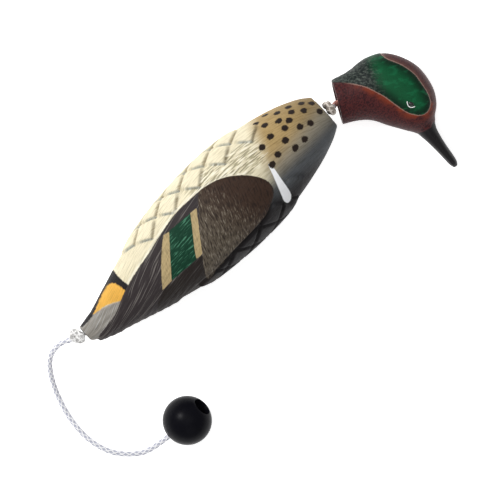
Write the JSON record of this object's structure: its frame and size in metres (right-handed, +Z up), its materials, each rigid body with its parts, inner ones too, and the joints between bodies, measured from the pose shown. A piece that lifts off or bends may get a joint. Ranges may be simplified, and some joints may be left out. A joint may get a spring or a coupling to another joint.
{
  "type": "duck-shaped retriever training dummy",
  "caption": "Floating teal-drake retriever training dummy: ribbed foam body, free-swinging hard head on a knotted rope, toss cord with a ball.",
  "frame": {"origin": "on the surface the dummy lies on, straight below the middle of the foam body, where the right wing rests", "axes": "+X along the body from tail to breast, +Y from the back to the belly, +Z up, which is the bird's left side as it lies"},
  "size_m": [0.3484, 0.1448, 0.0799],
  "materials": {
    "painted_foam": "soft closed-cell foam, painted in matt duck colours",
    "tube_plastic": "plain extruded plastic",
    "grommet_plastic": "moulded black plastic",
    "white_rope": "braided white polyester cord",
    "washer_steel": "plain zinc-plated steel",
    "painted_head": "hard plastic, painted chestnut and green with a black bill",
    "plug_plastic": "moulded dark plastic",
    "ball_plastic": "moulded black plastic, satin gloss"
  },
  "bodies": {
    "duck_body": {"foam_body": "painted_foam", "core_tube": "tube_plastic", "tail_grommet": "grommet_plastic", "breast_grommet": "grommet_plastic", "body_rope": "white_rope"},
    "breast_swivel": {"breast_knot": "white_rope"},
    "neck_link": {"neck_rope": "white_rope"},
    "head_end": {"head_rope": "white_rope", "head_washer": "washer_steel", "head_knot": "white_rope"},
    "head": {"head_shell_right": "painted_head", "head_shell_left": "painted_head", "neck_plug": "plug_plastic"},
    "tail_swivel": {"tail_knot": "white_rope"},
    "toss_line": {"toss_cord": "white_rope", "ball_knot": "white_rope"},
    "ball": {"toss_ball": "ball_plastic"}
  },
  "joints": [
    {"name": "neck_twist", "type": "hinge", "parent": "duck_body", "child": "breast_swivel", "pos_m": [0.0979, 0, 0.04], "axis": [1, 0, 0], "range_deg": [-180, 180]},
    {"name": "neck_lift", "type": "hinge", "parent": "breast_swivel", "child": "neck_link", "pos_m": [0.0979, 0, 0.04], "axis": [0, 1, -0.0067], "range_deg": [-74, 10]},
    {"name": "head_bend", "type": "hinge", "parent": "neck_link", "child": "head_end", "pos_m": [0.1023, -0.00012, 0.02219], "axis": [-0.473, -0.874, -0.1109], "range_deg": [-74, 6]},
    {"name": "head_spin", "type": "hinge", "parent": "head_end", "child": "head", "pos_m": [0.1045, -0.0013, 0.0221], "axis": [0.8808, -0.4723, -0.0349], "continuous": true},
    {"name": "cord_swing", "type": "hinge", "parent": "duck_body", "child": "tail_swivel", "pos_m": [-0.1384, 0.002, 0.04], "axis": [0, 0, 1], "range_deg": [-50, 45]},
    {"name": "cord_lift", "type": "hinge", "parent": "tail_swivel", "child": "toss_line", "pos_m": [-0.1384, 0.002, 0.04], "axis": [-0.9884, -0.1517, 0], "range_deg": [-70, 80]},
    {"name": "ball_spin", "type": "hinge", "parent": "toss_line", "child": "ball", "pos_m": [-0.124, -0.0917, 0.0173], "axis": [0.9063, 0, 0.4226], "continuous": true}
  ]
}
